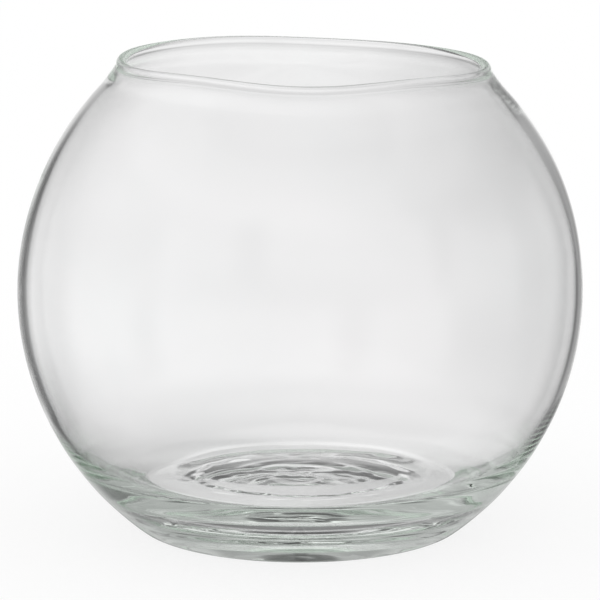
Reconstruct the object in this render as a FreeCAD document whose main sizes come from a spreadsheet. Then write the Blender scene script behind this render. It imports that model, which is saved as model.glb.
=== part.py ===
# A rose bowl: a low, round flower vase in clear glass, blown in one piece. The wall swells from a
# heavy flat foot to a wide belly and closes again to a mouth with a fire-polished lip. The floor
# inside carries the rings that the hot glass sets in where it chills against the mould.
# The origin is on the table at the bowl's axis, and +Z points up out of the mouth.
import FreeCAD, Part
import math
import os

import Sketcher

# Driving dimensions, in millimetres, apart from the turn in degrees and the count of rings.
BOWL_SIZES = (
    ("bowl_width", 152.4, "widest diameter, at the belly"),
    ("bowl_height", 128.4, "table to the highest place of the lip"),
    ("belly_height", 64.3, "table to the widest point"),
    ("mouth_width", 100.0, "diameter over the lip"),
    ("lip_radius", 1.3, "roundness of the fire-polished lip"),
    ("lip_crease", 1.2, "roundness of the hollow under the lip, outside"),
    ("flare_radius", 42.0, "roundness of the neck, where the shoulder turns up to the lip"),
    ("flare_turn", 12.5, "how far it turns up, in degrees"),
    ("wall", 2.2, "thickness of the blown wall"),
    ("foot_width", 84.5, "diameter of the face that rests on the table"),
    ("foot_ring", 7.0, "width of the ring that touches the table"),
    ("heel_radius", 4.6, "roundness of the heel"),
    ("push_up", 2.0, "rise of the underside at its middle"),
    ("floor_height", 11.5, "table to the floor inside"),
    ("floor_corner", 30.0, "roundness where the wall meets the floor inside"),
    ("chill_rings", 5, "rings round the crest in the middle of the floor"),
    ("chill_height", 0.5, "height of a crest above the hollow beside it"),
    ("chill_border", 2.0, "plain floor between the outer hollow and the corner"),
)

# A sketch has numbers for the places on an edge, counted up from nought, and for its own two
# axes, counted down from its first edge.
PLACES = ("whole edge", "start", "end", "centre")
AXES = ("first edge", "table", "axis")


def make_sheet(doc):
    """Writes the driving dimensions into the sheet, one named cell to a row."""
    sheet = doc.addObject("Spreadsheet::Sheet", "Sizes")
    for row, (alias, value, note) in enumerate(BOWL_SIZES, start=1):
        sheet.set("A%d" % row, note)
        sheet.set("B%d" % row, str(value))
        sheet.setAlias("B%d" % row, alias)
    doc.recompute()
    return sheet


def point(across, up):
    return FreeCAD.Vector(across, up, 0)


def direction(bearing):
    angle = math.radians(bearing)
    return point(math.cos(angle), math.sin(angle))


def bearing(origin, target):
    """The way from one point to another, in degrees from 0 to 360."""
    return math.degrees(math.atan2(target.y - origin.y, target.x - origin.x)) % 360


def meeting_point(first, first_radius, second, second_radius):
    """Where two circles cross, to the right of the way from the first centre to the second."""
    gap = first.distanceToPoint(second)
    along = (first_radius ** 2 - second_radius ** 2 + gap ** 2) / (2 * gap)
    aside = math.sqrt(first_radius ** 2 - along ** 2)
    way = (second - first).normalize()
    return first + way * along + point(way.y, -way.x) * aside


class Round:
    """A circle that the half section of the glass runs along for a part of its way."""

    def __init__(self, centre, radius):
        self.centre = centre
        self.radius = radius

    def larger(self, by):
        return Round(self.centre, self.radius + by)


class Section:
    """The circles of the half section, worked out from the driving dimensions."""

    def __init__(self, size):
        belly = point(size["bowl_width"] / 2, size["belly_height"])
        foot = point(size["foot_width"] / 2, 0)
        self.foot_inside = foot - point(size["foot_ring"], 0)
        self.foot = foot
        self.belly = belly

        # The underside is a shallow dome within the ring, and the heel rounds off the ring.
        push_up = size["push_up"]
        dome = (self.foot_inside.x ** 2 + push_up ** 2) / (2 * push_up)
        self.dome = Round(point(0, push_up - dome), dome)
        heel = size["heel_radius"]
        self.heel = Round(foot + point(0, heel), heel)

        # The lower wall is upright at the belly and runs into the heel.
        inset = belly.x - foot.x
        drop = belly.y - heel
        lower = (inset ** 2 + drop ** 2 - heel ** 2) / (2 * (inset - heel))
        self.lower = Round(belly - point(lower, 0), lower)

        # The neck is an even shell that turns by its own angle, from the end of the shoulder to
        # the round lip. A small crease lies between the lip and its outer face.
        lip = size["lip_radius"]
        flare = size["flare_radius"]
        wall = size["wall"]
        crease = size["lip_crease"]
        lip_centre = point(size["mouth_width"] / 2 - lip, size["bowl_height"] - lip)
        flare_to_lip = flare + wall - lip
        turn = direction(size["flare_turn"])
        across = belly.x - lip_centre.x + flare - flare_to_lip * turn.x
        rise = lip_centre.y - belly.y + flare_to_lip * turn.y
        self.shoulder_turn = 2 * bearing(point(0, 0), point(rise, across))
        self.lip_lean = self.shoulder_turn - size["flare_turn"]
        flare_centre = lip_centre + direction(self.lip_lean) * flare_to_lip
        crease_centre = meeting_point(lip_centre, lip + crease, flare_centre, flare - crease)
        self.lip = Round(lip_centre, lip)
        self.flare = Round(flare_centre, flare)
        self.crease = Round(crease_centre, crease)

        # The shoulder is upright at the belly and runs into the flare.
        shoulder = (flare_centre.y - belly.y) / direction(self.shoulder_turn).y - flare
        self.shoulder = Round(belly - point(shoulder, 0), shoulder)

        # The corner inside touches both the wall and the floor.
        corner = size["floor_corner"]
        corner_up = size["floor_height"] + corner
        corner_out = math.sqrt((lower - wall - corner) ** 2 - (belly.y - corner_up) ** 2)
        self.corner = Round(point(self.lower.centre.x + corner_out, corner_up), corner)

        # The rings are equal arcs, crest and hollow by turns, from the axis to the plain border.
        chill = size["chill_height"]
        self.ring_arcs = 2 * int(size["chill_rings"]) + 1
        self.ring_step = (self.corner.centre.x - size["chill_border"]) / self.ring_arcs
        self.ring_radius = (self.ring_step ** 2 + chill ** 2) / (4 * chill)
        self.ring_slope = math.degrees(math.asin(self.ring_step / 2 / self.ring_radius))


class Outline:
    """One closed run of edges in a sketch, each held to the end of the one before it."""

    def __init__(self, sketch):
        self.sketch = sketch
        self.tail = None

    def arc(self, circle, from_bearing, to_bearing, joint="Tangent"):
        """Adds the arc between two bearings. It turns left if the second one is larger."""
        low, high = sorted((math.radians(from_bearing), math.radians(to_bearing)))
        ring = Part.Circle(circle.centre, FreeCAD.Vector(0, 0, 1), circle.radius)
        edge = self.sketch.addGeometry(Part.ArcOfCircle(ring, low, high), False)
        ends = ("start", "end") if to_bearing > from_bearing else ("end", "start")
        return self.join(edge, ends, joint)

    def line(self, start, end, joint="Tangent"):
        edge = self.sketch.addGeometry(Part.LineSegment(start, end), False)
        return self.join(edge, ("start", "end"), joint)

    def join(self, edge, ends, joint):
        if self.tail:
            self.hold(joint, *self.tail, edge, ends[0])
        self.tail = (edge, ends[1])
        return edge

    def hold(self, kind, *where):
        """Adds a constraint on numbered edges, with the places on them and the axes as words."""
        numbers = [PLACES.index(what) if what in PLACES else what for what in where]
        numbers = [-AXES.index(what) if what in AXES else what for what in numbers]
        return self.sketch.addConstraint(Sketcher.Constraint(kind, *numbers))

    def measure(self, name, kind, where, value, formula):
        """Adds a named dimension that takes its value from the sheet."""
        self.sketch.renameConstraint(self.hold(kind, *where, value), name)
        self.sketch.setExpression("Constraints." + name, formula)


def draw_foot(outline, section, size):
    """The domed underside, the ring that touches the table, and the heel."""
    edge_bearing = bearing(section.dome.centre, section.foot_inside)
    dome = outline.arc(section.dome, 90, edge_bearing)
    outline.hold("PointOnObject", dome, "centre", "axis")
    outline.hold("PointOnObject", dome, "end", "axis")
    outline.measure("push_up", "DistanceY", (dome, "end"), size["push_up"], "Sizes.push_up")
    ring = outline.line(section.foot_inside, section.foot, joint="Coincident")
    outline.hold("Horizontal", ring)
    outline.hold("PointOnObject", ring, "start", "table")
    outline.measure("foot_ring", "DistanceX", (ring, "start", ring, "end"), size["foot_ring"],
                    "Sizes.foot_ring")
    outline.measure("foot_radius", "DistanceX", (ring, "end"), section.foot.x,
                    "Sizes.foot_width / 2")
    heel = outline.arc(section.heel, 270, bearing(section.lower.centre, section.heel.centre))
    outline.measure("heel_radius", "Radius", (heel,), section.heel.radius, "Sizes.heel_radius")
    return dome


def draw_outside(outline, section, size):
    """The wall from the heel over the belly to the lip."""
    heel_bearing = bearing(section.lower.centre, section.heel.centre)
    lower = outline.arc(section.lower, heel_bearing, 360)
    outline.hold("Horizontal", lower, "centre", lower, "end")
    outline.measure("belly_height", "DistanceY", (lower, "end"), section.belly.y,
                    "Sizes.belly_height")
    outline.measure("belly_radius", "DistanceX", (lower, "end"), section.belly.x,
                    "Sizes.bowl_width / 2")
    shoulder = outline.arc(section.shoulder, 0, section.shoulder_turn, joint="Coincident")
    outline.hold("Horizontal", shoulder, "centre", shoulder, "start")
    crease_bearing = bearing(section.flare.centre, section.crease.centre)
    flare = outline.arc(section.flare, section.shoulder_turn + 180, crease_bearing)
    outline.measure("flare_radius", "Radius", (flare,), section.flare.radius,
                    "Sizes.flare_radius")
    return lower, shoulder, flare


def draw_lip(outline, section, size):
    """The crease under the lip, and the bead that the flame has drawn up round the mouth."""
    crease_bearing = bearing(section.flare.centre, section.crease.centre)
    lip_bearing = bearing(section.crease.centre, section.lip.centre)
    crease = outline.arc(section.crease, crease_bearing, lip_bearing)
    outline.measure("crease_radius", "Radius", (crease,), section.crease.radius,
                    "Sizes.lip_crease")
    lip = outline.arc(section.lip, lip_bearing - 180, section.lip_lean + 180)
    outline.measure("lip_radius", "Radius", (lip,), section.lip.radius, "Sizes.lip_radius")
    outline.measure("lip_across", "DistanceX", (lip, "centre"), section.lip.centre.x,
                    "Sizes.mouth_width / 2 - Sizes.lip_radius")
    outline.measure("lip_up", "DistanceY", (lip, "centre"), section.lip.centre.y,
                    "Sizes.bowl_height - Sizes.lip_radius")


def draw_inside(outline, section, size, outside):
    """The inner face, one wall's thickness within the outer one, down to the floor's corner."""
    lower_outside, shoulder_outside, flare_outside = outside
    wall = size["wall"]
    turn = section.shoulder_turn
    corner_bearing = bearing(section.lower.centre, section.corner.centre)
    flare = outline.arc(section.flare.larger(wall), section.lip_lean + 180, turn + 180)
    outline.hold("Coincident", flare, "centre", flare_outside, "centre")
    outline.measure("flare_turn", "Angle", (flare,), math.radians(size["flare_turn"]),
                    "Sizes.flare_turn")
    outline.measure("wall", "Radius", (flare,), section.flare.radius + wall,
                    "Sizes.flare_radius + Sizes.wall")
    shoulder = outline.arc(section.shoulder.larger(-wall), turn, 0)
    outline.hold("Coincident", shoulder, "centre", shoulder_outside, "centre")
    lower = outline.arc(section.lower.larger(-wall), 360, corner_bearing, joint="Coincident")
    outline.hold("Coincident", lower, "centre", lower_outside, "centre")
    outline.hold("Horizontal", lower, "end", lower, "centre")
    corner = outline.arc(section.corner, corner_bearing, 270)
    outline.measure("floor_corner", "Radius", (corner,), section.corner.radius,
                    "Sizes.floor_corner")


def draw_floor(outline, section, size):
    """The plain border, then the chill rings, crest after hollow, in to the axis."""
    floor = size["floor_height"]
    crest = floor + size["chill_height"]
    ring_edge = section.ring_arcs * section.ring_step
    border = outline.line(point(section.corner.centre.x, floor), point(ring_edge, floor))
    outline.hold("Horizontal", border)
    outline.measure("floor_height", "DistanceY", (border, "start"), floor, "Sizes.floor_height")
    outline.measure("chill_border", "DistanceX", (border, "end", border, "start"),
                    size["chill_border"], "Sizes.chill_border")
    slope = section.ring_slope
    rings = []
    for step in range(section.ring_arcs, -1, -1):
        across = step * section.ring_step
        is_hollow = step % 2 == 1
        if is_hollow:
            circle = Round(point(across, floor + section.ring_radius), section.ring_radius)
            start = 270 if step == section.ring_arcs else 270 + slope
            ring = outline.arc(circle, start, 270 - slope)
        else:
            circle = Round(point(across, crest - section.ring_radius), section.ring_radius)
            end = 90 if step == 0 else 90 + slope
            ring = outline.arc(circle, 90 - slope, end)
        if rings:
            outline.hold("Equal", rings[-1], ring)
        if len(rings) > 1:
            outline.hold("Horizontal", rings[-2], "centre", ring, "centre")
        rings.append(ring)
    outline.hold("PointOnObject", rings[-1], "centre", "axis")
    outline.hold("PointOnObject", rings[-1], "end", "axis")
    outline.measure("crest_height", "DistanceY", (rings[-1], "end"), crest,
                    "Sizes.floor_height + Sizes.chill_height")
    return point(0, crest)


def make_bowl(doc, sheet):
    """The one piece of glass: its half section, turned once round the axis."""
    body = doc.addObject("PartDesign::Body", "GlassBowl")
    body.Label = "glass_bowl"
    upright = [plane for plane in body.Origin.OriginFeatures if plane.Role == "XZ_Plane"][0]
    sketch = body.newObject("Sketcher::SketchObject", "GlassSection")
    sketch.AttachmentSupport = [(upright, "")]
    sketch.MapMode = "FlatFace"
    size = {alias: float(sheet.get(alias)) for alias, value, note in BOWL_SIZES}
    section = Section(size)
    outline = Outline(sketch)
    dome = draw_foot(outline, section, size)
    outside = draw_outside(outline, section, size)
    draw_lip(outline, section, size)
    draw_inside(outline, section, size, outside)
    floor_middle = draw_floor(outline, section, size)
    middle = outline.line(floor_middle, point(0, size["push_up"]), joint="Coincident")
    outline.hold("Coincident", middle, "end", dome, "end")
    doc.recompute()
    if not sketch.FullyConstrained:
        raise RuntimeError("the half section of the glass is not fully held")

    turned = body.newObject("PartDesign::Revolution", "TurnedGlass")
    turned.Profile = sketch
    turned.ReferenceAxis = (sketch, ["V_Axis"])
    turned.Angle = 360
    body.Tip = turned
    return body


def check_and_write(doc, pieces):
    """Stops on anything that failed to build, then writes each piece to its own file."""
    doc.recompute()
    for thing in doc.Objects:
        if "Invalid" in thing.State or "Error" in thing.State:
            raise RuntimeError(thing.Label + " did not build")
    os.makedirs("parts", exist_ok=True)
    for piece in pieces:
        shape = piece.Shape
        if shape.isNull() or not shape.isValid():
            raise RuntimeError(piece.Label + " has no sound shape")
        box = shape.optimalBoundingBox()
        print("%s: %.1f x %.1f x %.1f mm, %.1f cm3, %d solid, %d faces" % (
            piece.Label, box.XLength, box.YLength, box.ZLength, shape.Volume / 1000,
            len(shape.Solids), len(shape.Faces)))
        shape.exportStep("parts/%s.step" % piece.Label)


doc = FreeCAD.newDocument("RoseBowl")
check_and_write(doc, [make_bowl(doc, make_sheet(doc))])
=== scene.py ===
# A rose bowl: a low, round flower vase in clear glass, blown in one piece. It has a heavy flat foot,
# a thin wall that swells to a wide belly, and a narrower mouth whose lip was melted round in the
# flame. It stands on a white table before a white backdrop.
import bpy
import math
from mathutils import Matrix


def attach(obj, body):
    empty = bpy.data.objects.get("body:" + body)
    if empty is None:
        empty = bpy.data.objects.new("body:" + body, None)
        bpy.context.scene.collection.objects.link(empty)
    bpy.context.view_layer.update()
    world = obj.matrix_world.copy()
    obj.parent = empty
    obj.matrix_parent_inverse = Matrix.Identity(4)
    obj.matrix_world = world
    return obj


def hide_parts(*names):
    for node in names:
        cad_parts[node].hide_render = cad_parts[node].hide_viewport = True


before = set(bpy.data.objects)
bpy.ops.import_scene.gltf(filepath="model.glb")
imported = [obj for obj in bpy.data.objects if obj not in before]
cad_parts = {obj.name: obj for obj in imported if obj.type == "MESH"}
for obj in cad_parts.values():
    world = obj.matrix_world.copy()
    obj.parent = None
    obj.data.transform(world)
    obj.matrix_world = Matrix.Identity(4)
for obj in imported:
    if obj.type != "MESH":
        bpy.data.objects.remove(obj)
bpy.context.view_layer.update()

# The photograph's view: one metre away, from a little above the mouth, with a long lens that
# fills the frame with the bowl.
CAMERA_DISTANCE = 1.0
CAMERA_ELEVATION = math.radians(11.79)
CAMERA_LENS = 222.0
CAMERA_FILM = 36.0
CAMERA_NEAREST = 0.05
CAMERA_FARTHEST = 12.0
AIM_HEIGHT = 0.06139

camera_data = bpy.data.cameras.new("camera")
camera_data.lens = CAMERA_LENS
camera_data.sensor_width = CAMERA_FILM
camera_data.clip_start = CAMERA_NEAREST
camera_data.clip_end = CAMERA_FARTHEST
camera = bpy.data.objects.new("camera", camera_data)
camera.location = (
    0,
    -CAMERA_DISTANCE * math.cos(CAMERA_ELEVATION),
    AIM_HEIGHT + CAMERA_DISTANCE * math.sin(CAMERA_ELEVATION),
)
camera.rotation_euler = (math.radians(90) - CAMERA_ELEVATION, 0, 0)
bpy.context.collection.objects.link(camera)
bpy.context.scene.camera = camera

# The studio is a white room for all that it lights. The glass also shows what stands round it: a
# bright backdrop that it is looked through at, and walls that it mirrors, which have dark flags
# beside the backdrop, a skirting, a ceiling, and a tall window straight ahead.
ROOM_LIGHT = 1.0
LIGHT_TURNS = 128

bpy.context.scene.view_settings.view_transform = "Standard"
bpy.context.scene.cycles.max_bounces = LIGHT_TURNS
bpy.context.scene.cycles.glossy_bounces = LIGHT_TURNS
bpy.context.scene.cycles.transmission_bounces = LIGHT_TURNS

world = bpy.data.worlds.new("studio")
world.use_nodes = True
bpy.context.scene.world = world
room = world.node_tree
room.nodes.clear()


def room_math(operation, *values):
    """A Math node in the world, fed with sockets or numbers."""
    node = room.nodes.new("ShaderNodeMath")
    node.operation = operation
    for socket, value in zip(node.inputs, values):
        if isinstance(value, (int, float)):
            socket.default_value = value
        else:
            room.links.new(value, socket)
    return node.outputs["Value"]


def room_ramp(angle, stops):
    """Brightness by angle, in degrees, eased from one stop to the next."""
    low, high = stops[0][0], stops[-1][0]
    ramp = room.nodes.new("ShaderNodeValToRGB")
    ramp.color_ramp.interpolation = "EASE"
    elements = ramp.color_ramp.elements
    while len(elements) < len(stops):
        elements.new(0.5)
    for element, (degrees, brightness) in zip(elements, stops):
        element.position = (degrees - low) / (high - low)
        element.color = (brightness, brightness, brightness, 1)
    place = room_math("DIVIDE", room_math("SUBTRACT", angle, low), high - low)
    room.links.new(place, ramp.inputs["Fac"])
    return ramp.outputs["Color"]


def room_mix(share, plain, other):
    """Fades from one brightness to another as the share goes from nought to one."""
    node = room.nodes.new("ShaderNodeMix")
    node.data_type = "FLOAT"
    for name, value in (("Factor", share), ("A", plain), ("B", other)):
        if isinstance(value, float):
            node.inputs[name].default_value = value
        else:
            room.links.new(value, node.inputs[name])
    return node.outputs["Result"]


ways = room.nodes.new("ShaderNodeTexCoord")
split = room.nodes.new("ShaderNodeSeparateXYZ")
room.links.new(ways.outputs["Generated"], split.inputs[0])
angle_around = room_math("DEGREES", room_math("ARCTAN2", split.outputs["X"], split.outputs["Y"]))
angle_up = room_math("DEGREES", room_math("ARCSINE", split.outputs["Z"]))

# The backdrop comes again at every eighth of the round, so that one is behind the bowl in each view.
BACKDROP_PITCH = 45.0
BACKDROP_ACROSS = (
    # degrees to the right of the backdrop's middle, brightness
    (-22.5, 0.80),
    (-17.0, 0.95),
    (-12.0, 1.00),
    (-6.0, 1.00),
    (0.0, 0.92),
    (5.0, 0.83),
    (12.0, 0.90),
    (22.5, 0.80),
)
BACKDROP_UPWARD = (
    # degrees above the horizon, brightness
    (-90.0, 0.30),
    (-60.0, 0.75),
    (-45.0, 0.95),
    (-30.0, 0.88),
    (-20.0, 0.95),
    (-12.0, 1.00),
    (-7.0, 0.94),
    (4.0, 0.80),
    (25.0, 0.35),
    (90.0, 0.25),
)
angle_across = room_math("WRAP", angle_around, BACKDROP_PITCH / 2, -BACKDROP_PITCH / 2)
backdrop = room_math(
    "MULTIPLY", room_ramp(angle_up, BACKDROP_UPWARD), room_ramp(angle_across, BACKDROP_ACROSS))

# The flags beside the backdrop draw the dark lines inside the outline, and more of them stand
# further round for the other views. Above them is a grey ceiling, with a brighter ring round it.
FLAGS_AROUND = (
    # degrees to the right of the backdrop's middle, brightness
    (-180.0, 1.00),
    (-126.0, 1.00),
    (-115.0, 0.52),
    (-104.0, 0.90),
    (-78.0, 0.95),
    (-66.0, 0.58),
    (-42.0, 0.90),
    (-31.0, 0.45),
    (-26.0, 0.12),
    (-21.0, 0.08),
    (-17.0, 0.55),
    (-13.0, 0.66),
    (-8.0, 0.86),
    (8.0, 0.88),
    (13.0, 0.64),
    (18.0, 0.29),
    (23.0, 0.31),
    (28.0, 0.11),
    (34.0, 0.45),
    (60.0, 0.22),
    (95.0, 0.40),
    (111.0, 0.48),
    (124.0, 0.95),
    (146.0, 0.95),
    (159.0, 0.52),
    (172.0, 1.00),
    (180.0, 1.00),
)
CEILING_UPWARD = (
    # degrees above the horizon, how much of the ceiling shows there
    (-90.0, 0.0),
    (-5.0, 0.0),
    (14.0, 1.0),
    (90.0, 1.0),
)
CEILING_LIGHT = (
    # degrees above the horizon, brightness
    (-90.0, 0.10),
    (-30.0, 0.45),
    (10.0, 0.50),
    (19.0, 0.45),
    (28.0, 0.45),
    (38.0, 0.70),
    (52.0, 0.60),
    (62.0, 0.35),
    (90.0, 0.45),
)
upper_light = room_mix(
    room_ramp(angle_up, CEILING_UPWARD), room_ramp(angle_around, FLAGS_AROUND),
    room_ramp(angle_up, CEILING_LIGHT))

# The skirting is dark to the left and right of the backdrop, and darkens the sides of the heel.
SKIRTING_UPWARD = (
    # degrees above the horizon, how much of the skirting shows there
    (-90.0, 0.5),
    (-45.0, 1.0),
    (-30.0, 1.0),
    (-13.0, 0.0),
    (90.0, 0.0),
)
SKIRTING_AROUND = (
    # degrees to the right of the backdrop's middle, brightness
    (-180.0, 0.95),
    (-90.0, 0.40),
    (-60.0, 0.12),
    (-42.0, 0.04),
    (-28.0, 0.12),
    (-15.0, 0.50),
    (0.0, 0.72),
    (15.0, 0.50),
    (30.0, 0.28),
    (60.0, 0.55),
    (90.0, 0.80),
    (180.0, 0.95),
)
walls_light = room_mix(
    room_ramp(angle_up, SKIRTING_UPWARD), upper_light, room_ramp(angle_around, SKIRTING_AROUND))

# The window is in the middle of the backdrop's wall. Its panes and bars give the bright and dark
# lines in the front of the heel.
WINDOW_AROUND = (
    # degrees to the right of the backdrop's middle, how much of the window shows there
    (-180.0, 0.0),
    (-12.0, 0.0),
    (-7.0, 1.0),
    (7.0, 1.0),
    (12.0, 0.0),
    (180.0, 0.0),
)
WINDOW_UPWARD = (
    # degrees above the horizon, brightness
    (-90.0, 0.15),
    (-45.0, 0.30),
    (-25.0, 0.12),
    (-14.0, 0.90),
    (-3.0, 1.00),
    (10.0, 0.20),
    (22.0, 0.05),
    (32.0, 0.05),
    (40.0, 0.60),
    (48.0, 1.00),
    (58.0, 1.00),
    (68.0, 0.25),
    (90.0, 0.15),
)
mirrored_light = room_mix(
    room_ramp(angle_around, WINDOW_AROUND), walls_light, room_ramp(angle_up, WINDOW_UPWARD))

# Light that only passes through the glass comes from the backdrop, and light that the glass has
# mirrored at least once comes from the walls.
rays = room.nodes.new("ShaderNodeLightPath")
in_glass = room_math("MAXIMUM", rays.outputs["Is Glossy Ray"], rays.outputs["Is Transmission Ray"])
mirrored = room_math("MINIMUM", rays.outputs["Glossy Depth"], 1.0)
level = room_mix(in_glass, ROOM_LIGHT, room_mix(mirrored, backdrop, mirrored_light))
background = room.nodes.new("ShaderNodeBackground")
background.inputs["Color"].default_value = (1, 1, 1, 1)
room.links.new(level, background.inputs["Strength"])
world_out = room.nodes.new("ShaderNodeOutputWorld")
room.links.new(background.outputs[0], world_out.inputs["Surface"])

# The table is a plain white sheet, wide enough to fill every view. It keeps a soft shadow of the
# bowl, and the glass looks through it at the lit backdrop.
TABLE_REACH = 6.0
TABLE_SHADE = 0.15

table_mesh = bpy.data.meshes.new("table")
table_mesh.from_pydata(
    [(x * TABLE_REACH, y * TABLE_REACH, 0) for x, y in ((-1, -1), (1, -1), (1, 1), (-1, 1))],
    [], [(0, 1, 2, 3)])
table = bpy.data.objects.new("table", table_mesh)
bpy.context.collection.objects.link(table)

# Most of its white is a glow of its own, which the shadow doesn't reach, so the shadow is pale.
white_sheet = bpy.data.materials.new("white_sheet")
white_sheet.use_nodes = True
sheet = white_sheet.node_tree
sheet.nodes.clear()
lit = sheet.nodes.new("ShaderNodeBsdfDiffuse")
lit.inputs["Color"].default_value = (TABLE_SHADE, TABLE_SHADE, TABLE_SHADE, 1)
glow = sheet.nodes.new("ShaderNodeEmission")
glow.inputs["Strength"].default_value = 1 - TABLE_SHADE * ROOM_LIGHT
both = sheet.nodes.new("ShaderNodeAddShader")
clear = sheet.nodes.new("ShaderNodeBsdfTransparent")
which = sheet.nodes.new("ShaderNodeMixShader")
sheet_rays = sheet.nodes.new("ShaderNodeLightPath")
sheet_out = sheet.nodes.new("ShaderNodeOutputMaterial")
through_glass = sheet.nodes.new("ShaderNodeMath")
through_glass.operation = "MAXIMUM"
sheet.links.new(sheet_rays.outputs["Is Glossy Ray"], through_glass.inputs[0])
sheet.links.new(sheet_rays.outputs["Is Transmission Ray"], through_glass.inputs[1])
sheet.links.new(lit.outputs[0], both.inputs[0])
sheet.links.new(glow.outputs[0], both.inputs[1])
sheet.links.new(through_glass.outputs[0], which.inputs["Fac"])
sheet.links.new(both.outputs[0], which.inputs[1])
sheet.links.new(clear.outputs[0], which.inputs[2])
sheet.links.new(which.outputs[0], sheet_out.inputs["Surface"])
table.data.materials.append(white_sheet)

# The bowl is one gather of soda-lime glass, blown and worked by hand: the wall drifts in
# thickness, the mouth is a little off the axis, and the lip rises and falls by a millimetre.
# It stands free on the flat ring of its foot.
MM = 0.001
BOWL_WIDTH = 152.4
BELLY_HEIGHT = 64.3
MEAN_HEIGHT = 127.0
MOUTH_WIDTH = 100.0
LIP_RADIUS = 1.3
LIP_CREASE = 1.2
FLARE_RADIUS = 42.0
FLARE_TURN = 12.5
WALL = 2.2
FOOT_WIDTH = 84.5
FOOT_RING = 7.0
HEEL_RADIUS = 4.6
PUSH_UP = 2.0
FLOOR_HEIGHT = 11.5
FLOOR_CORNER = 30.0


def along(origin, bearing, distance):
    """The point at that distance from another one, at that bearing in degrees."""
    angle = math.radians(bearing)
    return origin[0] + distance * math.cos(angle), origin[1] + distance * math.sin(angle)


def bearing_to(origin, target):
    """The way from one point to another, in degrees from 0 to 360."""
    return math.degrees(math.atan2(target[1] - origin[1], target[0] - origin[0])) % 360


# The half section runs along circles, whose centres follow from the sizes. Each place is a
# distance from the axis and a height. First come the dome of the underside, the heel, and the
# lower wall, which is upright at the belly and runs into the heel.
belly_radius = BOWL_WIDTH / 2
foot_inside = (FOOT_WIDTH / 2 - FOOT_RING, 0)
dome_radius = (foot_inside[0] ** 2 + PUSH_UP ** 2) / (2 * PUSH_UP)
dome = (0, PUSH_UP - dome_radius)
heel = (FOOT_WIDTH / 2, HEEL_RADIUS)
inset = belly_radius - heel[0]
drop = BELLY_HEIGHT - HEEL_RADIUS
lower_radius = (inset ** 2 + drop ** 2 - HEEL_RADIUS ** 2) / (2 * (inset - HEEL_RADIUS))
lower = (belly_radius - lower_radius, BELLY_HEIGHT)

# The shoulder is upright at the belly too and runs into the neck, which turns up to the lip.
lip = (MOUTH_WIDTH / 2 - LIP_RADIUS, MEAN_HEIGHT - LIP_RADIUS)
flare_to_lip = FLARE_RADIUS + WALL - LIP_RADIUS
turned_across, turned_up = along((0, 0), FLARE_TURN, flare_to_lip)
flare_inset = belly_radius - lip[0] + FLARE_RADIUS - turned_across
flare_rise = lip[1] - BELLY_HEIGHT + turned_up
shoulder_turn = 2 * math.degrees(math.atan2(flare_inset, flare_rise))
lip_lean = shoulder_turn - FLARE_TURN
flare = along(lip, lip_lean, flare_to_lip)
shoulder_radius = (flare[1] - BELLY_HEIGHT) / math.sin(math.radians(shoulder_turn)) - FLARE_RADIUS
shoulder = (belly_radius - shoulder_radius, BELLY_HEIGHT)

# The crease touches the lip and the outer face of the neck, and the corner touches the inner face
# of the lower wall and the floor.
lip_to_crease = LIP_RADIUS + LIP_CREASE
flare_to_crease = FLARE_RADIUS - LIP_CREASE
crease_aside = math.degrees(math.acos(
    (lip_to_crease ** 2 + flare_to_lip ** 2 - flare_to_crease ** 2)
    / (2 * lip_to_crease * flare_to_lip)))
crease = along(lip, lip_lean - crease_aside, lip_to_crease)
corner_up = FLOOR_HEIGHT + FLOOR_CORNER
lower_to_corner = lower_radius - WALL - FLOOR_CORNER
corner = (lower[0] + math.sqrt(lower_to_corner ** 2 - (BELLY_HEIGHT - corner_up) ** 2), corner_up)

heel_bearing = bearing_to(lower, heel)
crease_bearing = bearing_to(flare, crease)
lip_bearing = bearing_to(crease, lip)
corner_bearing = bearing_to(lower, corner)
section_arcs = (
    # centre, radius, first bearing, last bearing, steps
    (dome, dome_radius, 90, bearing_to(dome, foot_inside), 10),
    (heel, HEEL_RADIUS, 270, heel_bearing, 14),
    (lower, lower_radius, heel_bearing, 360, 80),
    (shoulder, shoulder_radius, 0, shoulder_turn, 36),
    (flare, FLARE_RADIUS, shoulder_turn + 180, crease_bearing, 12),
    (crease, LIP_CREASE, crease_bearing, lip_bearing, 6),
    (lip, LIP_RADIUS, lip_bearing - 180, lip_lean + 180, 20),
    (flare, FLARE_RADIUS + WALL, lip_lean + 180, shoulder_turn + 180, 12),
    (shoulder, shoulder_radius - WALL, shoulder_turn, 0, 30),
    (lower, lower_radius - WALL, 360, corner_bearing, 30),
    (corner, FLOOR_CORNER, corner_bearing, 270, 50),
)
FLOOR_STEPS = 64
SAME_PLACE = 0.01


def half_section():
    """The points from the middle of the underside, over the lip, to the middle of the floor."""
    points = []
    for centre, radius, first, last, steps in section_arcs:
        for step in range(steps + 1):
            place = along(centre, first + (last - first) * step / steps, radius)
            if not points or math.dist(points[-1], place) > SAME_PLACE:
                points.append(place)
    edge = points[-1][0]
    for step in range(1, FLOOR_STEPS + 1):
        points.append((edge * (1 - step / FLOOR_STEPS), FLOOR_HEIGHT))
    return points


section = half_section()
lip_at = max(range(len(section)), key=lambda number: section[number][1])
way = [0.0]
for near, far in zip(section, section[1:]):
    way.append(way[-1] + math.dist(near, far))


def ease(value, low, high):
    """Goes softly from nought to one as the value goes from low to high."""
    share = min(1, max(0, (value - low) / (high - low)))
    return share * share * (3 - 2 * share)


def within(value, comes_in, goes_out):
    """How fully a mark shows: it comes in over one stretch and goes out over another."""
    return ease(value, *comes_in) * (1 - ease(value, *goes_out))


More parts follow.
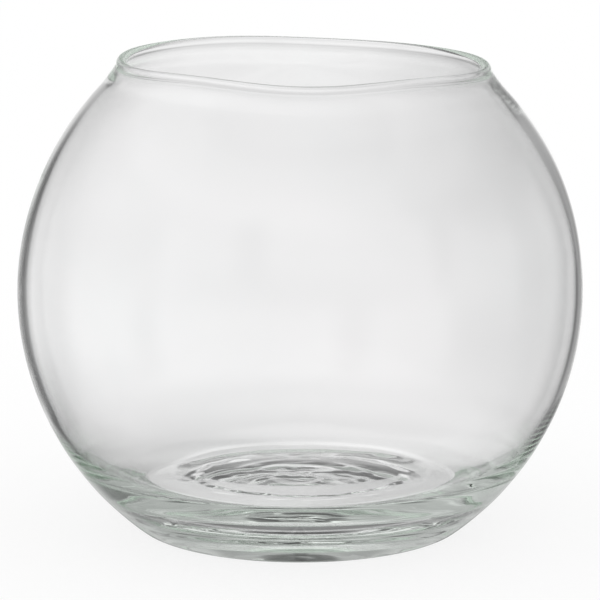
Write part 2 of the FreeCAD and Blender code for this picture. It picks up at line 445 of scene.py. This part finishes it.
# The mouth was cut and melted by hand, so its edge waves, and it stands off the axis.
LIP_WAVES = (
    # waves round the mouth, height, turn in degrees
    (1, 1.06, 150),
    (2, 0.20, 86),
    (3, 0.10, 33),
    (4, 0.26, -175),
    (5, 0.22, -101),
    (6, 0.13, 2),
)
MOUTH_SHIFT = 1.0
UPPER_BOWL = (BELLY_HEIGHT, MEAN_HEIGHT - 1)


def lip_rise(around):
    """How far the lip stands above its mean height there."""
    return sum(
        height * math.cos(waves * around + math.radians(turn)) for waves, height, turn in LIP_WAVES)


# The wall is a little thinner at the right of the belly, and thicker at the right of the neck.
# Lengths are in millimetres, and the right side's turn is in radians.
BELLY_GAIN = 0.05
BELLY_GAIN_AT_RIGHT = -0.5
NECK_GAIN = -0.2
NECK_GAIN_AT_RIGHT = 1.2
NECK_GAIN_SHARPNESS = 1.5
BELLY_TO_NECK = (72, 112)
RIGHT_SIDE_TURN = -0.2
DRIFT_COMES_IN = (FLOOR_HEIGHT + 6, 40)
DRIFT_GOES_OUT = (112, 121)
THIN_UNDER_LIP = 0.4
THIN_COMES_IN = (119, 123)
THIN_GOES_OUT = (123.6, 125.2)


def wall_gain(around, up):
    """How much thicker than its mean the wall is there."""
    right = 0.5 + 0.5 * math.cos(around - RIGHT_SIDE_TURN)
    at_belly = BELLY_GAIN + BELLY_GAIN_AT_RIGHT * right
    at_neck = NECK_GAIN + NECK_GAIN_AT_RIGHT * right ** NECK_GAIN_SHARPNESS
    upper = ease(up, *BELLY_TO_NECK)
    return at_belly * (1 - upper) + at_neck * upper


# Cords are long low ridges in the glass. These lie over the underside and round the heel, and
# inside at the foot of the wall.
CORDS = (
    # depth, length up the wall, lean, waves round, turn in radians
    (0.022, 14.0, 0.8, 1, 0.3),
    (0.001, 4.6, 1.2, 2, 1.9),
)
CORDS_COME_IN = (0.5, 3)
CORDS_GO_OUT = (22, 40)
CORDS_COME_IN_INSIDE = (FLOOR_HEIGHT, FLOOR_HEIGHT + 2)


def cord(along_wall, around):
    """The height of the ridges over the plain face there."""
    return sum(
        depth * math.sin(2 * math.pi * along_wall / length + lean * math.sin(waves * around + turn))
        for depth, length, lean, waves, turn in CORDS)


# The thick floor set unevenly, with a low crown in the middle, a trough round it that wanders
# and lies nearer to the middle at the back, and a swirl over the crown.
TROUGH_SIDES = (
    # inner edge, outer edge, how much higher the floor is inside the inner one
    (30.6, 37.0, -0.60),
    (27.0, 30.6, 0.60),
)
TROUGH_WANDER = (
    # how far, waves round, turn in radians for each millimetre from the axis, turn in radians
    (0.50, 2, 0, 0.4),
    (0.35, 5, 1 / 6, 0),
    (0.25, 13, 1 / 2, 0),
    (0.20, 23, 0, 1.3),
)
WANDER_COMES_IN = (0, 20)
WANDER_GOES_OUT = (34, 38)
TROUGH_PUSHED = 9.0
PUSH_GOES_OUT = (14, 38)
CROWN_HEIGHT = 0.55
CROWN_BACK = 4.0
CROWN_WIDE = 28.5
CROWN_DEEP = 17.0
SWIRL_DEPTH = 0.04
SWIRL_PITCH = 8.0
SWIRL_BENDS = (
    # how far, waves round, turn in radians for each millimetre from the axis, turn in radians
    (1.5, 1, 0, 0.8),
    (0.9, 3, 1 / 3, 0),
)
SWIRL_COMES_IN = (0, 0.5)


def waves_round(waves, across, around):
    """The sum of some waves that run round the axis, each with its own size and turn."""
    return sum(
        size * math.sin(count * around + twist * across + turn)
        for size, count, twist, turn in waves)


def floor_rise(across, around):
    """The height of the floor over its plain level."""
    wander = waves_round(TROUGH_WANDER, across, around)
    pushed = TROUGH_PUSHED * max(0, math.sin(around)) ** 2 * (1 - ease(across, *PUSH_GOES_OUT))
    reach = across + pushed + wander * within(across, WANDER_COMES_IN, WANDER_GOES_OUT)
    trough = sum(rise * (1 - ease(reach, inner, outer)) for inner, outer, rise in TROUGH_SIDES)
    aside = across * math.cos(around) / CROWN_WIDE
    back = (across * math.sin(around) - CROWN_BACK) / CROWN_DEEP
    crown = max(0, 1 - aside * aside - back * back)
    bends = waves_round(SWIRL_BENDS, across, around)
    swirl = math.sin(2 * math.pi * across / SWIRL_PITCH + bends)
    return trough + CROWN_HEIGHT * crown + SWIRL_DEPTH * swirl * ease(crown, *SWIRL_COMES_IN)


# Three hundredths of a millimetre come off each side, so that the bowl stays in the part's box.
WIDTH_KEPT = 0.9996


def blown(number, around):
    """A point of the half section at that turn round the axis, with the marks of the hand work."""
    across, up = section[number]
    inside = number > lip_at
    upper = ease(up, *UPPER_BOWL)
    rise = lip_rise(around) * upper
    if inside:
        across -= wall_gain(around, up) * within(up, DRIFT_COMES_IN, DRIFT_GOES_OUT)
        across += THIN_UNDER_LIP * within(up, THIN_COMES_IN, THIN_GOES_OUT)
    on_floor = inside and up < FLOOR_HEIGHT + SAME_PLACE
    if on_floor:
        rise += floor_rise(across, around)
    elif up < CORDS_GO_OUT[1]:
        before, after = section[max(number - 1, 0)], section[number + 1]
        slope = math.radians(bearing_to(before, after))
        ridge = cord(way[number], around) * within(up, CORDS_COME_IN, CORDS_GO_OUT)
        if inside:
            ridge *= ease(up, *CORDS_COME_IN_INSIDE)
        across += ridge * math.sin(slope)
        rise -= ridge * math.cos(slope)
    across *= WIDTH_KEPT
    return (
        (across * math.cos(around) + MOUTH_SHIFT * upper) * MM,
        across * math.sin(around) * MM,
        max(0, up + rise) * MM,
    )


# The faces run in rings round the axis, and a fan closes each end of the half section.
TURNS = 240
verts = [blown(0, 0)]
for number in range(1, len(section) - 1):
    verts += [blown(number, 2 * math.pi * turn / TURNS) for turn in range(TURNS)]
verts.append(blown(len(section) - 1, 0))
faces = []
ring_count = len(section) - 2
for turn in range(TURNS):
    following = (turn + 1) % TURNS
    faces.append((0, 1 + following, 1 + turn))
    for ring in range(ring_count - 1):
        low = 1 + ring * TURNS
        high = low + TURNS
        faces.append((low + turn, low + following, high + following, high + turn))
    last = 1 + (ring_count - 1) * TURNS
    faces.append((last + turn, last + following, len(verts) - 1))
glass_mesh = bpy.data.meshes.new("blown_bowl")
glass_mesh.from_pydata(verts, [], faces)
glass_mesh.validate()
glass_mesh.shade_smooth()
bowl = bpy.data.objects.new("blown_bowl", glass_mesh)
bpy.context.collection.objects.link(bowl)

# The glass is clear, with a green cast where it is thick. The melt was never quite even, so it has
# faint paler and darker streaks, and its faces are a little uneven from the drawing out.
DARKER_STREAK = (0.976, 0.977, 0.979, 1)
PALER_STREAK = (0.998, 0.994, 0.997, 1)
STREAKS_SCALE = 16.0
UNEVEN_SCALE = 32.0
UNEVEN_DRAWN_ROUND = 3.0
UNEVEN_DEPTH = 0.02 * MM
GREEN_CAST = (0.82, 0.94, 0.84, 1)
GREEN_CAST_DENSITY = 4.0
GLASS_IOR = 1.5

clear_glass = bpy.data.materials.new("clear_glass")
clear_glass.use_nodes = True
glass = clear_glass.node_tree
shader = glass.nodes["Principled BSDF"]
place = glass.nodes.new("ShaderNodeTexCoord")

melt = glass.nodes.new("ShaderNodeTexNoise")
melt.inputs["Scale"].default_value = STREAKS_SCALE
melt.inputs["Detail"].default_value = 2.0
melt.inputs["Distortion"].default_value = 0.6
melt_tint = glass.nodes.new("ShaderNodeValToRGB")
melt_tint.color_ramp.elements[0].position = 0.35
melt_tint.color_ramp.elements[0].color = DARKER_STREAK
melt_tint.color_ramp.elements[1].position = 0.65
melt_tint.color_ramp.elements[1].color = PALER_STREAK
glass.links.new(place.outputs["Object"], melt.inputs["Vector"])
glass.links.new(melt.outputs["Fac"], melt_tint.inputs["Fac"])
glass.links.new(melt_tint.outputs["Color"], shader.inputs["Base Color"])

drawn_round = glass.nodes.new("ShaderNodeMapping")
drawn_round.inputs["Scale"].default_value = (1.0, 1.0, UNEVEN_DRAWN_ROUND)
ripple = glass.nodes.new("ShaderNodeTexNoise")
ripple.inputs["Scale"].default_value = UNEVEN_SCALE
ripple.inputs["Detail"].default_value = 1.0
ripple.inputs["Roughness"].default_value = 0.4
ripple_bump = glass.nodes.new("ShaderNodeBump")
ripple_bump.inputs["Strength"].default_value = 1.0
ripple_bump.inputs["Distance"].default_value = UNEVEN_DEPTH
glass.links.new(place.outputs["Object"], drawn_round.inputs["Vector"])
glass.links.new(drawn_round.outputs["Vector"], ripple.inputs["Vector"])
glass.links.new(ripple.outputs["Fac"], ripple_bump.inputs["Height"])
glass.links.new(ripple_bump.outputs["Normal"], shader.inputs["Normal"])

shader.inputs["Metallic"].default_value = 0.0
shader.inputs["Roughness"].default_value = 0.0
shader.inputs["IOR"].default_value = GLASS_IOR
shader.inputs["Transmission Weight"].default_value = 1.0
green_cast = glass.nodes.new("ShaderNodeVolumeAbsorption")
green_cast.inputs["Color"].default_value = GREEN_CAST
green_cast.inputs["Density"].default_value = GREEN_CAST_DENSITY
glass.links.new(green_cast.outputs[0], glass.nodes["Material Output"].inputs["Volume"])
bowl.data.materials.append(clear_glass)

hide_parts("glass_bowl")
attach(bowl, "root")
